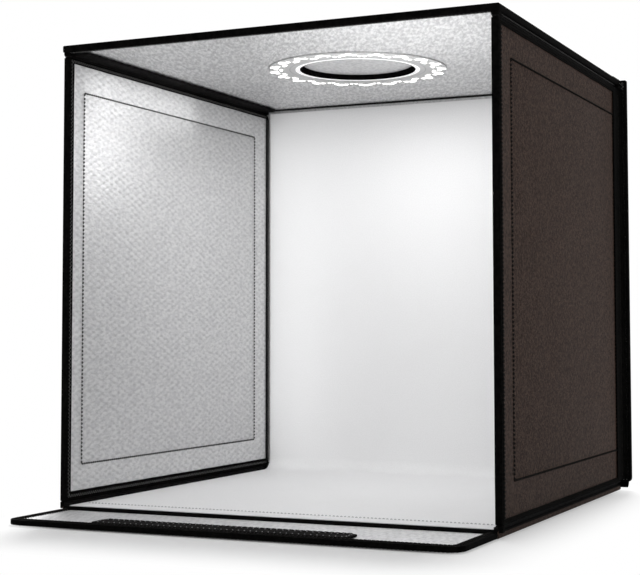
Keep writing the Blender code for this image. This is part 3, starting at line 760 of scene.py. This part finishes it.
def stitchRun(kind, start, end, across, face, level, grow=1.0):
    template, step = templates[kind]
    across = Vector((across[0], across[1], 0.0))
    outward = Vector((0.0, 0.0, face))
    along = across.cross(outward)
    start, end = Vector((*start, level)), Vector((*end, level))
    if along.dot(end - start) < 0:
        start, end = end, start
    length = (end - start).length
    count = max(1, round(length / (step * grow)))
    run = copyOf(template)
    repeat = run.modifiers.new("repeat", 'ARRAY')
    repeat.count = count
    repeat.use_relative_offset = False
    repeat.use_constant_offset = True
    repeat.constant_offset_displace = (step, 0, 0)
    applyModifiers(run)
    basis = Matrix((along, across, outward)).transposed().to_4x4()
    applyPlace(run, Matrix.Translation(start) @ basis
               @ Matrix.Diagonal((length / (count * step), grow, grow, 1)))
    return run


def sewRound(kind, corners, face, level, leaveOut=None, grow=1.0):
    # corners run anticlockwise in the plane, so the inside is to the left
    runs = []
    for start, end in zip(corners, corners[1:] + corners[:1]):
        du, dv = end[0] - start[0], end[1] - start[1]
        length = math.hypot(du, dv)
        if length > templates[kind][1] * 0.6 and not (leaveOut and leaveOut(start, end)):
            runs.append(stitchRun(kind, start, end, (-dv / length, du / length), face, level,
                                  grow))
    return runs


def finishStitches(runs, name, look, body, matrix):
    stitches = joinPieces(runs)
    applyPlace(stitches, matrix)
    finishPiece(stitches, name, look, body, 80)


def sewPanel(panel, facts):
    # round the binding on both faces, then the straight seams
    half, foldSide = facts["half"], facts["size"][1] / 2 - stitchFacts["foldSide"]
    leaveOut = None
    if "sewnOver" in facts:
        leaveOut = lambda start, end: min(start[1], end[1]) > foldSide
    if "flatEnds" in facts:
        leaveOut = lambda start, end: start[1] == end[1]
    for face in (-1, 1):
        isCover = face == facts["cover"]
        part, seamLook = ("Cover", "thread") if isCover else ("Lining", "greyThread")
        kind, look = ("over", "thread") if isCover or "sewnOver" in facts else (
            "flat", "greyThread")
        rim = rimPoints(facts, stitchFacts[kind + "Inset"], face=face)
        runs = sewRound(kind, rim, face, face * half, leaveOut)
        if "flatEnds" in facts:
            rim = rimPoints(facts, stitchFacts["flatInset"], face=face)
            runs += sewRound("flat", rim, face, face * half,
                             lambda start, end: start[1] != end[1])
        finishStitches(runs, panel + part + "Edging", look, facts["node"], facts["matrix"])
        seam = facts.get("coverSeam" if isCover else "liningSeam")
        if seam:
            (u0, v0), (u1, v1) = seamLines(facts, seam)
            level = half - facts["recess"] - sheetFacts["groove"] + stitchFacts["seamLevel"]
            runs = sewRound("seam", [(u0, v0), (u1, v0), (u1, v1), (u0, v1)], face,
                            face * level)
            finishStitches(runs, panel + part + "Seam", seamLook, facts["node"],
                           facts["matrix"])


for panel, facts in panels.items():
    measurePanel(facts)
    for face in (-1, 1):
        makeSheet(panel, facts, face)
    makeBinding(panel, facts)
    sewPanel(panel, facts)
print("panels:", len(panels))


# ---- base ----

baseFacts = {"width": 387.0, "depth": 372.5, "height": 6.0, "skin": 0.65, "round": 1.3,
             "seamHeight": 3.1, "seamHalf": 0.5, "seamDepth": 0.35}


def makeBase():
    half, height, turn = baseFacts["width"] / 2, baseFacts["height"], baseFacts["round"]
    seam, seamHalf = baseFacts["seamHeight"], baseFacts["seamHalf"]
    side = [(half, height), (half, seam + seamHalf), (half - baseFacts["seamDepth"], seam),
            (half, seam - seamHalf)]
    side += [(half - turn + x, turn - z) for x, z in arc(turn, (0, 30, 60, 90))]
    profile = side + [((half - turn) * share, 0.0) for share in (0.5, 0, -0.5)]
    profile += [(-x, z) for x, z in reversed(side)]
    wrap = gridPiece([[place(x, y, z) for y in spaced(0, baseFacts["depth"], 24)]
                      for x, z in profile])
    faceOutward(wrap)
    lowest = min(wrap.data.polygons, key=lambda polygon: polygon.center.z)
    if lowest.normal.z > 0:
        inEdit(wrap, (bpy.ops.mesh.flip_normals, {}))
    thicken(wrap, baseFacts["skin"] * mm)
    finishPiece(wrap, "baseWrap", "leather", "base", 40, ["base_cover"])


makeBase()

# black tape that laps the upper edge of the base's long sides: x and z from the outside in
# its lower part stands for the shade in the gap under each wall (painted shade)
baseTapeAndShade = {"section": [(193.62, 4.2), (193.75, 4.5), (193.75, 5.4), (193.4, 6.0),
                        (192.6, 6.2), (190.6, 6.2)], "from": 0.4, "to": 372.0,
            "thickness": 0.3}
for name, side in (("rightBaseTapeAndShade", 1), ("leftBaseTapeAndShade", -1)):
    tape = bandPiece([[place(side * x, y, z) for y in spaced(baseTapeAndShade["from"],
                                                             baseTapeAndShade["to"], 40)]
                      for x, z in baseTapeAndShade["section"]], baseTapeAndShade["thickness"])
    finishPiece(tape, name, "tape", "base", 40)


# ---- fabric across the folds ----

def wallFold(side, sign):
    section = [(196.75, 348.5), (196.85, 354.0), (196.8, 362.0), (196.8, 368.5),
               (196.95, 370.6), (197.4, 372.0), (198.3, 372.7), (199.8, 372.8),
               (202.6, 372.8)]
    return {"bodies": ("back", side + "_wall"), "wall": True, "along": (10.6, 390.4),
            "thickness": 0.36, "replaced": [side + "_wall_hinge_tape"],
            "section": [(sign * x, y) for x, y in section],
            "start": (sign * 199.6, 372.8, 200), "end": (sign * 196.9, 370.2, 200)}


# section: y and z once across the fold, or x and y on a wall; along: its run in the third
# axis; start and end: where the turn between the two bodies begins and is complete
folds = {
    "flapFold": {
        "bodies": ("base", "flap"), "along": (-192.0, 192.0),
        "thickness": 0.30,
        "section": [(3.4, 6.16), (2.2, 6.18), (1.0, 6.16), (0.3, 6.0), (-0.25, 5.6),
                    (-0.6, 5.1), (-1.1, 4.78), (-2.2, 4.70)],
        "start": (0, 0.5, 6.1), "end": (0, -1.1, 4.8)},
    "topHingeFold": {
        "bodies": ("back", "top"), "along": (-196.5, 196.5),
        "thickness": 0.40, "replaced": ["top_hinge_tape", "back_upper_hinge_tape"],
        "section": [(350.5, 400.45), (356.0, 400.55), (364.0, 400.5), (370.0, 400.5),
                    (371.8, 400.55), (372.6, 400.75), (373.4, 400.75), (375.0, 400.5),
                    (377.6, 400.4), (378.9, 400.2), (379.5, 399.5), (379.7, 398.0),
                    (379.6, 393.0), (379.55, 388.0)],
        "start": (0, 374.6, 400.5), "end": (0, 371.4, 400.5)},
    "rearInnerFold": {
        "bodies": ("base", "back"), "along": (-190.0, 190.0),
        "thickness": 0.22,
        "section": [(358.6, 6.12), (364.0, 6.12), (369.5, 6.14), (371.6, 6.3),
                    (372.5, 6.8), (372.85, 7.8), (372.85, 9.5), (372.85, 12.5)],
        "start": (0, 371.3, 6.3), "end": (0, 372.85, 8.0)},
    "rearSpine": {
        "bodies": ("base", "back"), "along": (-200.0, 200.0),
        "thickness": 0.40, "replaced": ["back_lower_hinge_tape"],
        "section": [(372.75, 2.6), (374.1, 2.7), (375.6, 3.1), (377.0, 3.9), (378.1, 5.0),
                    (378.9, 6.4), (379.4, 8.1), (379.6, 11.0), (379.55, 18.0),
                    (379.5, 29.0)],
        "start": (0, 372.75, 2.6), "end": (0, 379.3, 7.6)},
    "rightWallFold": wallFold("right", 1),
    "leftWallFold": wallFold("left", -1),
    "holeCoverFold": {
        "bodies": ("top", "hole_cover"), "along": (-56.0, 56.0),
        "thickness": 0.34, "replaced": ["hole_cover_hinge_tape"],
        "section": [(260.0, 399.3), (254.0, 399.35), (250.2, 399.4), (248.8, 399.7),
                    (248.1, 400.6), (247.8, 402.0), (247.6, 403.4), (247.0, 404.3),
                    (245.6, 404.68), (243.6, 404.72), (241.4, 404.70)],
        "start": (0, 249.0, 399.6), "end": (0, 247.2, 404.4)},
}


foldStep = 8.0     # millimetres between the points along a fold


def makeFold(name, facts):
    low, high = facts["along"]
    run = spaced(low, high, round((high - low) / foldStep))
    rows = []
    for first, second in facts["section"]:
        if "wall" in facts:
            rows.append([place(first, second, z) for z in run])
        else:
            rows.append([place(x, first, second) for x in run])
    strip = bandPiece(rows, facts["thickness"])
    finishPiece(strip, name, "tape", None, 60, facts.get("replaced", ()))
    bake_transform(strip)


for name, facts in folds.items():
    makeFold(name, facts)
print("folds:", len(folds))


# ---- closure strips, ceiling strips, gussets, pull tab ----

stripFacts = {
    "flapHookStrip": {"node": "flap_hook_strip", "body": "flap", "corner": 3.0,
                      "rearOver": True, "shift": -6.0},
    "backLoopStrip": {"node": "back_loop_strip", "body": "back", "corner": 5.0, "shift": 0.0},
}
# depths of the stitches are counted down from the strip's face
stripSewing = {"grow": 1.5, "inset": 3.0, "depth": 1.65, "rearEnd": 4.0, "rearInset": 0.6,
               "rearDepth": 0.55, "edge": 0.35}


def makeStrip(name, facts):
    width, length, depth, matrix = measureFlat(facts["node"], facts["shift"])
    strip = blockPiece(Matrix.Diagonal((width, length, depth, 1)))
    spots = [vertex.co.copy() for vertex in strip.data.vertices]
    upright = [edge.index for edge in strip.data.edges
               if abs(spots[edge.vertices[0]].z - spots[edge.vertices[1]].z) > depth / 2]
    bevelPicked(strip, 'EDGE', upright, offset=facts["corner"], segments=4)
    soften(strip, stripSewing["edge"], 2, 60)
    applyPlace(strip, matrix)
    finishPiece(strip, name, "hook", facts["body"], 40, [facts["node"]])
    if "rearOver" in facts:
        end, rear = width / 2 - stripSewing["rearEnd"], length / 2 - stripSewing["rearInset"]
        run = stitchRun("over", (-end, rear), (end, rear), (0, 1), 1,
                        depth / 2 - stripSewing["rearDepth"], stripSewing["grow"])
        finishStitches([run], name + "RearEdging", "thread", facts["body"], matrix)
    plane = {"size": (width, length), "corners": (facts["corner"],) * 4}
    runs = sewRound("seam", rimPoints(plane, stripSewing["inset"]), 1,
                    depth / 2 - stripSewing["depth"], None, stripSewing["grow"])
    finishStitches(runs, name + "Edging", "stripThread", facts["body"], matrix)


for name, facts in stripFacts.items():
    makeStrip(name, facts)

# side that faces inward, and the width
# the left strip is widened to 17 mm, partly to stand for the shade on the ceiling beside the
# left wall (painted shade)
ceilingStrips = {"leftCeilingStripAndShade": ("left_top_loop_strip", 1, 17.0),
                 "rightCeilingStrip": ("right_top_loop_strip", -1, 5.0)}
furAndShadeFacts = {"step": 0.65, "tooth": 2.6, "reach": 2.4}


def makeCeilingStrip(name, node, inward, width):
    # loop strip with a ragged pile along its inner edge, which also stands for a fuzzy
    # painted shadow
    low, high = (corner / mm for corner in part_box(node))
    depth = high.z - low.z
    inner = low.x + width if inward > 0 else high.x - width
    section = [(0.0, 0.0), (0.5, -depth + 0.5), (1.4, -depth), (width - 2.4, -depth),
               (width - 0.9, -depth + 0.7), (width, 0.0)]
    rows = []
    for across, down in section:
        share = max(0.0, across / width - 0.6) / 0.4
        row = []
        for y in spaced(low.y, high.y, round((high.y - low.y) / furAndShadeFacts["step"])):
            tooth = abs(math.sin(math.pi * y / furAndShadeFacts["tooth"] + math.sin(y * 0.7)))
            reach = 0.45 + 0.35 * math.sin(y * 0.53) + 0.2 * math.sin(y * 1.7 + 1)
            out = across - width + furAndShadeFacts["reach"] * tooth * reach * share
            row.append(Vector((inner + inward * out, y, high.z + down)) * mm)
        rows.append(row)
    strip = gridPiece(rows + rows[:1])
    inEdit(strip, (bpy.ops.mesh.remove_doubles, {"threshold": mergeGap}),
           (bpy.ops.mesh.fill_holes, {"sides": 0}))
    faceOutward(strip)
    finishPiece(strip, name, "hook", "top", 30, [node])


for name, facts in ceilingStrips.items():
    makeCeilingStrip(name, *facts)

# tape that closes the corners over and under each wall: body, x, y and z from and to
gussets = {"TopGusset": ("back", (191.2, 198.8), (362.6, 372.9), (390.5, 393.6)),
           "BaseGusset": ("base", (190.0, 193.3), (362.6, 371.6), (6.5, 9.5)),
           "FrontGusset": ("base", (192.8, 196.4), (0.4, 6.0), (4.4, 9.95)),
           "CeilingGusset": ("top", (190.5, 196.6), (0.2, 8.5), (391.4, 394.1))}


def makeGusset(name, side, body, *spans):
    x, y, z = ((low + high) / 2 for low, high in spans)
    size = [(high - low) * mm for low, high in spans]
    gusset = blockPiece(Matrix.Translation(place(side * x, y, z))
                        @ Matrix.Diagonal((*size, 1)))
    soften(gusset, 0.5 * mm, 3)
    finishPiece(gusset, name, "tape", body, 40)


for name, facts in gussets.items():
    makeGusset("right" + name, 1, *facts)
    makeGusset("left" + name, -1, *facts)

pullTab = {"section": [(116.6, 403.0), (115.6, 402.9), (112.0, 402.2), (107.5, 401.3),
                       (103.2, 400.9)], "half": 10.0, "thickness": 0.9}
tab = bandPiece([[place(x, y, z) for x in spaced(-pullTab["half"], pullTab["half"], 10)]
                 for y, z in pullTab["section"]], pullTab["thickness"])
finishPiece(tab, "pullTab", "tape", "hole_cover", 40, ["hole_cover_pull_tab"])
print("strips and tab done")


# ---- lamp ring, sleeve stitches, pad of the hole cover ----

# the chain waves in and out; its lamps stand at these shares of a half wave, with their
# sides; lens: its radius in shares of the lamp's side, and its height
lampFacts = {"waves": 20, "radius": 74.0, "swing": 4.5, "thick": 0.6, "edge": 0.22,
             "lamps": [(0.0, 5.4), (0.4, 3.9), (-0.4, 3.9), (0.8, 2.7), (-0.8, 2.7)],
             "lens": (0.36, 0.34), "tapeWidth": 4.4, "tapeThick": 0.18, "tapeOver": 0.10,
             "tapeSteps": 12}


def wavePoint(angle, across=0.0):
    swing = lampFacts["swing"] * math.cos(lampFacts["waves"] * angle)
    return onCircle(lampFacts["radius"] + swing + across, angle)


def makeLamp(side):
    thick, (wide, high) = lampFacts["thick"], lampFacts["lens"]
    case = blockPiece(Matrix.Diagonal((side, side, thick, 1)))
    soften(case, lampFacts["edge"], 2)
    bpy.ops.mesh.primitive_uv_sphere_add(segments=12, ring_count=6, radius=1)
    dome = bpy.context.object
    applyPlace(dome, Matrix.Translation((0, 0, -thick / 2))
               @ Matrix.Diagonal((side * wide, side * wide, high, 1)))
    return joinPieces([case, dome])


def makeLamps():
    low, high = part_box("lamp_chain")
    middle = (low + high) / 2
    sides = sorted({side for share, side in lampFacts["lamps"]})
    lampTemplates = {side: makeLamp(side) for side in sides}
    copies = []
    for number in range(lampFacts["waves"]):
        for share, side in lampFacts["lamps"]:
            angle = (2 * number + share) * math.pi / lampFacts["waves"]
            lamp = copyOf(lampTemplates[side])
            lamp.matrix_world = (Matrix.Translation(middle) @ Matrix.Scale(mm, 4)
                                 @ Matrix.Translation((*wavePoint(angle), 0))
                                 @ Matrix.Rotation(angle, 4, 'Z'))
            copies.append(lamp)
    for template in lampTemplates.values():
        bpy.data.objects.remove(template, do_unlink=True)
    finishPiece(joinPieces(copies), "lamps", "lamp", "top", 50, ["lamp_chain"])

    level = high.z / mm + lampFacts["tapeOver"]
    rows = []
    for across in (-lampFacts["tapeWidth"] / 2, 0.0, lampFacts["tapeWidth"] / 2):
        spots = [wavePoint(angle, across)
                 for angle in wholeTurn(lampFacts["waves"] * lampFacts["tapeSteps"])]
        rows.append([Vector((middle.x / mm + x, middle.y / mm + y, level)) * mm
                     for x, y in spots])
    finishPiece(bandPiece(rows, lampFacts["tapeThick"]), "lampTape", "lampTape", "top", 40)


makeLamps()

# round the flange that laps the top's outer face
holeStitches = {"radius": 55.6, "steps": 40}
runs = sewRound("flat", [onCircle(holeStitches["radius"], angle)
                         for angle in wholeTurn(holeStitches["steps"])[:-1]], 1, 0.0)
finishStitches(runs, "holeEdging", "greyThread", "top", Matrix.Translation(
    (holeCentre.x, holeCentre.y, holeHigh.z)) @ Matrix.Scale(mm, 4))

# radius, and height over the pad's lowest point
padFacts = {"profile": [(0, 3.35), (30, 3.35), (49.2, 3.35), (49.8, 3.0), (50.0, 1.8),
                        (49.7, 1.0), (48.6, 0.6), (44, 0.4), (32, 0.2), (16, 0.06), (0, 0)],
            "steps": 96, "fill": 0.9}


def makePad():
    # soft disc under the hole cover that hangs into the hole
    middle = Vector((holeCentre.x, holeCentre.y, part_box("hole_cover_pad")[0].z))
    rows = [[middle + Vector((*onCircle(radius, angle), height)) * mm
             for angle in wholeTurn(padFacts["steps"])]
            for radius, height in padFacts["profile"]]
    pad = gridPiece(rows)
    faceOutward(pad, mergeGap)
    finishPiece(pad, "holeCoverPad", "silver", "hole_cover", 40, ["hole_cover_pad"])


makePad()
print("lamp ring and hole done")


# ---- backdrop ----

backdropFacts = {"half": 189.0, "front": 4.0, "floor": 6.8, "rear": 372.2, "top": 391.2,
                 "bend": 13.0, "thickness": 0.5, "flat": (0.378, 0.7474), "seam": 25.0,
                 "seamEnd": 4.0, "seamDepth": 0.02, "seamFlat": 0.6}


def makeBackdrop():
    facts = backdropFacts
    bendY, bendZ = facts["rear"] - facts["bend"], facts["floor"] + facts["bend"]
    section = [(y, facts["floor"]) for y in spaced(facts["front"], bendY, 30)[:-1]]
    section += [(bendY + out, bendZ - down)
                for down, out in arc(facts["bend"], range(0, 91, 9))]
    section += [(facts["rear"], z) for z in spaced(bendZ, facts["top"], 30)[1:]]
    backdrop = gridPiece([[place(x, y, z) for x in spaced(-facts["half"], facts["half"], 24)]
                          for y, z in section])
    if backdrop.data.polygons[0].normal.z < 0:
        inEdit(backdrop, (bpy.ops.mesh.flip_normals, {}))
    thicken(backdrop, facts["thickness"] * mm)
    finishPiece(backdrop, "backdrop", "sheet", "backdrop", 40, ["backdrop_sheet"])
    end = facts["half"] - facts["seamEnd"]
    run = stitchRun("seam", (-end, 0), (end, 0), (0, 1), 1, 0.0)
    spot = place(0, facts["seam"], facts["floor"] - facts["seamDepth"])
    finishStitches([run], "backdropSeam", "paleThread", "backdrop", Matrix.Translation(spot)
                   @ Matrix.Diagonal((mm, mm, facts["seamFlat"] * mm, 1)))


makeBackdrop()
for template, step in templates.values():
    bpy.data.objects.remove(template, do_unlink=True)
print("backdrop done")


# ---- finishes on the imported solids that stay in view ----

solidLooks = {
    "board": ["base_board"] + [facts["node"] + "_board" for facts in panels.values()],
    "silver": ["base_lining"],
    "tape": ["flap_fold_tape", "base_hinge_tape", "hole_binding"],
    "hook": ["backdrop_hang_strip"] + [
        side + part for side in ("left", "right")
        for part in ("_base_loop_strip", "_wall_lower_hook_strip", "_wall_upper_hook_strip",
                     "_cover_hook_tab", "_cover_loop_tab")],
    "plastic": ["power_inlet"],
    "ringBoard": ["lamp_ring_board"],
}
for look, names in solidLooks.items():
    for name in names:
        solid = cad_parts[name]
        solid.data.materials.clear()
        solid.data.materials.append(materials[look])


# ---- floor, light and camera ----

# glow is the floor's own white, so that the ground stays white and keeps the shadow
# outside the block from low to high, over the fade's length
stageFacts = {"size": 14.0, "middle": (0, 2.0, -0.0005), "floor": grey(0.77),
              "darker": 0.985, "patch": 1.5, "rough": 0.7, "gloss": 0.2, "glow": 0.05,
              "low": (-0.12, -0.28, -1.0), "high": (0.15, 0.126, 1.0), "fade": 0.11,
              "world": 0.40}


def cameraShare(tree):
    path = addNode('LightPath', tree=tree)
    seen = calc('MAXIMUM', path['Is Camera Ray'], path['Is Glossy Ray'])
    return calc('MAXIMUM', seen, path['Is Transmission Ray'])


def makeFloor():
    facts = stageFacts
    bpy.ops.mesh.primitive_plane_add(size=facts["size"], location=facts["middle"])
    floor = bpy.context.object
    floor.name = "studioFloor"
    applyPlace(floor)
    material, shader, spot = principled("studioFloor")
    colour = colourMix(noise(spot, facts["patch"]), facts["floor"],
                       shade(facts["floor"], facts["darker"]))
    fill(shader, {'Base Color': colour, 'Roughness': facts["rough"],
                        'Specular IOR Level': facts["gloss"]})
    low, high = Vector(facts["low"]), Vector(facts["high"])
    outside = vectorCalc('ABSOLUTE', vectorCalc('SUBTRACT', spot, (low + high) / 2))
    outside = vectorCalc('SUBTRACT', outside, (high - low) / 2)
    outside = vectorCalc('MAXIMUM', outside, (0, 0, 0))
    away = ramp(vectorCalc('LENGTH', outside), 0.0, facts["fade"])
    share = calc('MULTIPLY_ADD', away, 1 - facts["glow"], facts["glow"])
    tree = material.node_tree
    mix = addNode('MixShader', (calc('MULTIPLY', cameraShare(tree), share),
                                shader.outputs[0], addNode('Emission', tree=tree)[0]))
    fill(tree.nodes['Material Output'], {'Surface': mix[0]})
    floor.data.materials.append(material)


def makeWorld():
    world = bpy.data.worlds.new("studio")
    bpy.context.scene.world = world
    world.use_nodes = True
    tree = world.node_tree
    tree.nodes.clear()
    strength = calc('MULTIPLY_ADD', cameraShare(tree), 1 - stageFacts["world"],
                    stageFacts["world"])
    plain = addNode('Background', {'Color': (1, 1, 1, 1), 'Strength': strength})
    addNode('OutputWorld', {'Surface': plain[0]})


makeFloor()
makeWorld()

# soft boxes: place, point aimed at, width, height, power, spread in degrees
softBoxes = {
    "frontBox": ((0.55, -2.15, 0.38), (0.0, 0.1, 0.2), 1.2, 0.5, 8.0, 180),
    "rearKey": ((-0.55, 1.9, 2.1), (0.0, -0.1, 0.0), 1.2, 1.2, 150.0, 180),
    "topBox": ((0.0, 0.0, 2.6), (0.0, 0.001, 0.0), 1.5, 1.5, 14.0, 180),
    "lampGlow": ((0.0, -0.004, 0.388), (0.0, -0.0041, 0.0), 0.14, 0.14, 0.50, 180),
    "ceilingGlow": ((0.095, -0.12, 0.26), (0.095, -0.1201, 0.6), 0.16, 0.12, 0.27, 180),
    "wallGlow": ((-0.06, -0.07, 0.33), (-0.19, -0.07, 0.33), 0.24, 0.06, 0.031, 180),
    "edgeGlow": ((-0.155, -0.06, 0.368), (-0.19, -0.06, 0.368), 0.18, 0.036, 0.0150, 84),
    "backGlow": ((-0.16, 0.106, 0.20), (-0.16, 0.186, 0.20), 0.05, 0.34, 0.018, 110),
}
for name, (spot, aim, width, height, power, spread) in softBoxes.items():
    light = bpy.data.lights.new(name, 'AREA')
    light.shape = 'RECTANGLE'
    light.size, light.size_y = width, height
    light.energy = power
    light.spread = math.radians(spread)
    holder = bpy.data.objects.new(name, light)
    bpy.context.scene.collection.objects.link(holder)
    holder.location = spot
    holder.rotation_euler = (Vector(aim) - Vector(spot)).to_track_quat('-Z', 'Y').to_euler()
    holder.visible_camera = False

# at the photograph's angle; shift in shares of the image's width
cameraFacts = {"spot": (0.5388, -1.2176, 0.1514), "turnLeft": 24.352, "tiltUp": 3.363,
               "roll": -0.12, "lens": 81.80, "shift": (-0.04347, -0.06116)}


def makeCamera():
    lens = bpy.data.cameras.new("camera")
    lens.sensor_width = 36.0
    lens.lens = cameraFacts["lens"]
    lens.shift_x, lens.shift_y = cameraFacts["shift"]
    lens.clip_end = 50.0
    camera = bpy.data.objects.new("camera", lens)
    bpy.context.scene.collection.objects.link(camera)
    turn = (Matrix.Rotation(math.radians(cameraFacts["turnLeft"]), 4, 'Z')
            @ Matrix.Rotation(math.radians(90 + cameraFacts["tiltUp"]), 4, 'X')
            @ Matrix.Rotation(math.radians(cameraFacts["roll"]), 4, 'Z'))
    camera.matrix_world = Matrix.Translation(cameraFacts["spot"]) @ turn
    bpy.context.scene.camera = camera


makeCamera()
bpy.context.scene.view_settings.view_transform = 'Standard'
print("stage done")
